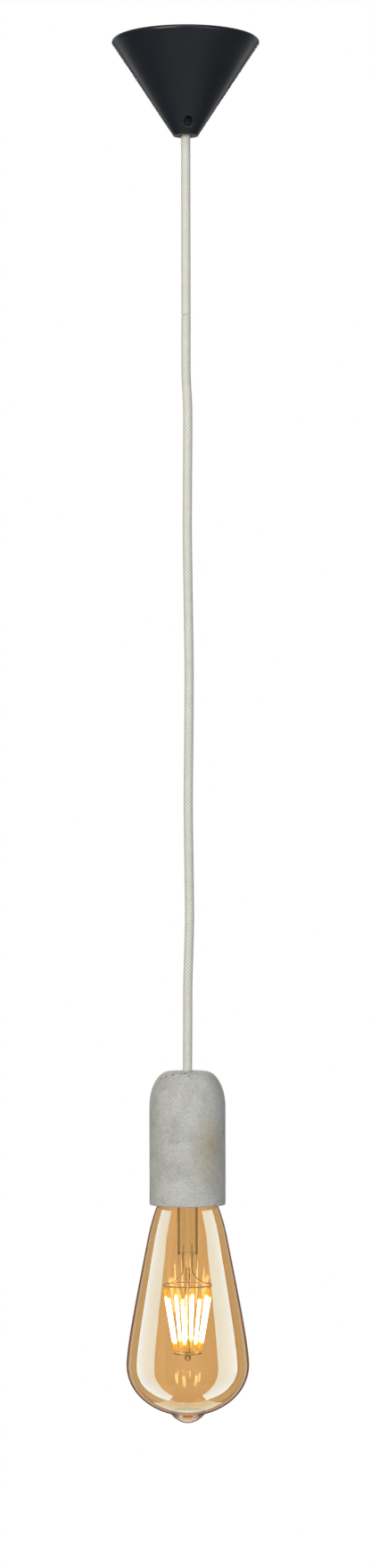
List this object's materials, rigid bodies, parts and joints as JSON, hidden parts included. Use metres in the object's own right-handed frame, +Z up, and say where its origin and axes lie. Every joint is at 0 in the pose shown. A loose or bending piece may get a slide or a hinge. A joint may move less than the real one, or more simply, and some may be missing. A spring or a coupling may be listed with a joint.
{
  "type": "pendant ceiling light",
  "caption": "Pendant ceiling light with a conical canopy, a textile cord, a cast concrete lampholder cover and a pear-shaped amber filament bulb.",
  "frame": {"origin": "centre of the bore of the eye that hangs on the ceiling hook", "axes": "+Z up to the ceiling, +Y away from the viewer, +X to the viewer's right; the lamp hangs along -Z"},
  "size_m": [0.078, 0.078, 0.7282],
  "materials": {
    "white_nylon": "moulded nylon",
    "clear_block": "translucent moulded polyamide",
    "plated_steel": "zinc plated",
    "brass": "stamped and turned",
    "brown_core": "extruded PVC insulation",
    "blue_core": "extruded PVC insulation",
    "cord_braid": "braided light grey textile over a round flex",
    "black_canopy": "satin moulded",
    "black_screw": "blackened steel",
    "black_holder": "moulded thermoset",
    "white_ceramic": "fired steatite, unglazed",
    "concrete": "cast concrete, pale grey, fine pores",
    "amber_glass": "blown, thin gold tint",
    "clear_glass": "drawn tube, pressed",
    "cap_metal": "rolled nickel-plated shell",
    "black_insulator": "vitreous black",
    "filament": "phosphor coated, lit",
    "circuit_board": "coated board with parts"
  },
  "bodies": {
    "hanger": {"hanger_eye": "white_nylon", "clamp_saddle": "white_nylon", "clamp_screws": "plated_steel", "terminal_block": "clear_block", "terminal_tubes": "brass", "terminal_screws": "plated_steel", "core_brown_top": "brown_core", "core_blue_top": "blue_core", "flex_upper": "cord_braid"},
    "canopy": {"canopy": "black_canopy"},
    "canopy_screw": {"canopy_screw": "black_screw"},
    "flex_link": {"flex_middle": "cord_braid"},
    "pendant": {"flex_lower": "cord_braid", "cord_grip": "white_nylon", "grip_screw": "white_nylon", "threaded_nipple": "plated_steel", "nipple_nut": "plated_steel", "lampholder_cap": "black_holder", "lampholder_core": "white_ceramic", "core_screws": "brass", "centre_contact": "brass", "side_contact": "brass", "screw_shell": "brass", "lampholder_skirt": "black_holder", "core_brown_bottom": "brown_core", "core_blue_bottom": "blue_core"},
    "cover": {"concrete_cover": "concrete"},
    "bulb_tip": {"bulb_contact": "cap_metal"},
    "bulb": {"bulb_glass": "amber_glass", "bulb_cap": "cap_metal", "bulb_insulator": "black_insulator", "glass_stem": "clear_glass", "stem_post": "clear_glass", "lead_wire_1": "plated_steel", "lead_wire_2": "plated_steel", "top_ring_1": "plated_steel", "top_ring_2": "plated_steel", "bottom_hub": "plated_steel", "filament_1": "filament", "filament_2": "filament", "filament_3": "filament", "filament_4": "filament", "filament_5": "filament", "filament_6": "filament", "filament_7": "filament", "filament_8": "filament", "driver_board": "circuit_board"}
  },
  "joints": [
    {"name": "canopy_slide", "type": "slide", "parent": "hanger", "child": "canopy", "axis": [0, 0, -1], "range_m": [0, 0.06]},
    {"name": "canopy_screw_travel", "type": "slide", "parent": "canopy", "child": "canopy_screw", "axis": [0.1132, -0.9936, 0], "range_m": [0, 0.002]},
    {"name": "swing_side", "type": "hinge", "parent": "hanger", "child": "flex_link", "pos_m": [0, 0, -0.118], "axis": [0, 1, 0], "range_deg": [-45, 45]},
    {"name": "swing_fore", "type": "hinge", "parent": "flex_link", "child": "pendant", "pos_m": [0, 0, -0.15], "axis": [1, 0, 0], "range_deg": [-45, 45]},
    {"name": "cover_lift", "type": "slide", "parent": "pendant", "child": "cover", "axis": [0, 0, 1], "range_m": [0, 0.04]},
    {"name": "bulb_travel", "type": "slide", "parent": "pendant", "child": "bulb_tip", "axis": [0, 0, -1], "range_m": [0, 0.0254]},
    {"name": "bulb_turn", "type": "hinge", "parent": "bulb_tip", "child": "bulb", "pos_m": [0, 0, -0.57], "axis": [0, 0, -1], "range_deg": [0, 2518]}
  ],
  "couplings": [
    {"joint": "bulb_travel", "follows": "bulb_turn", "m_per_rad": 0.00057757}
  ]
}
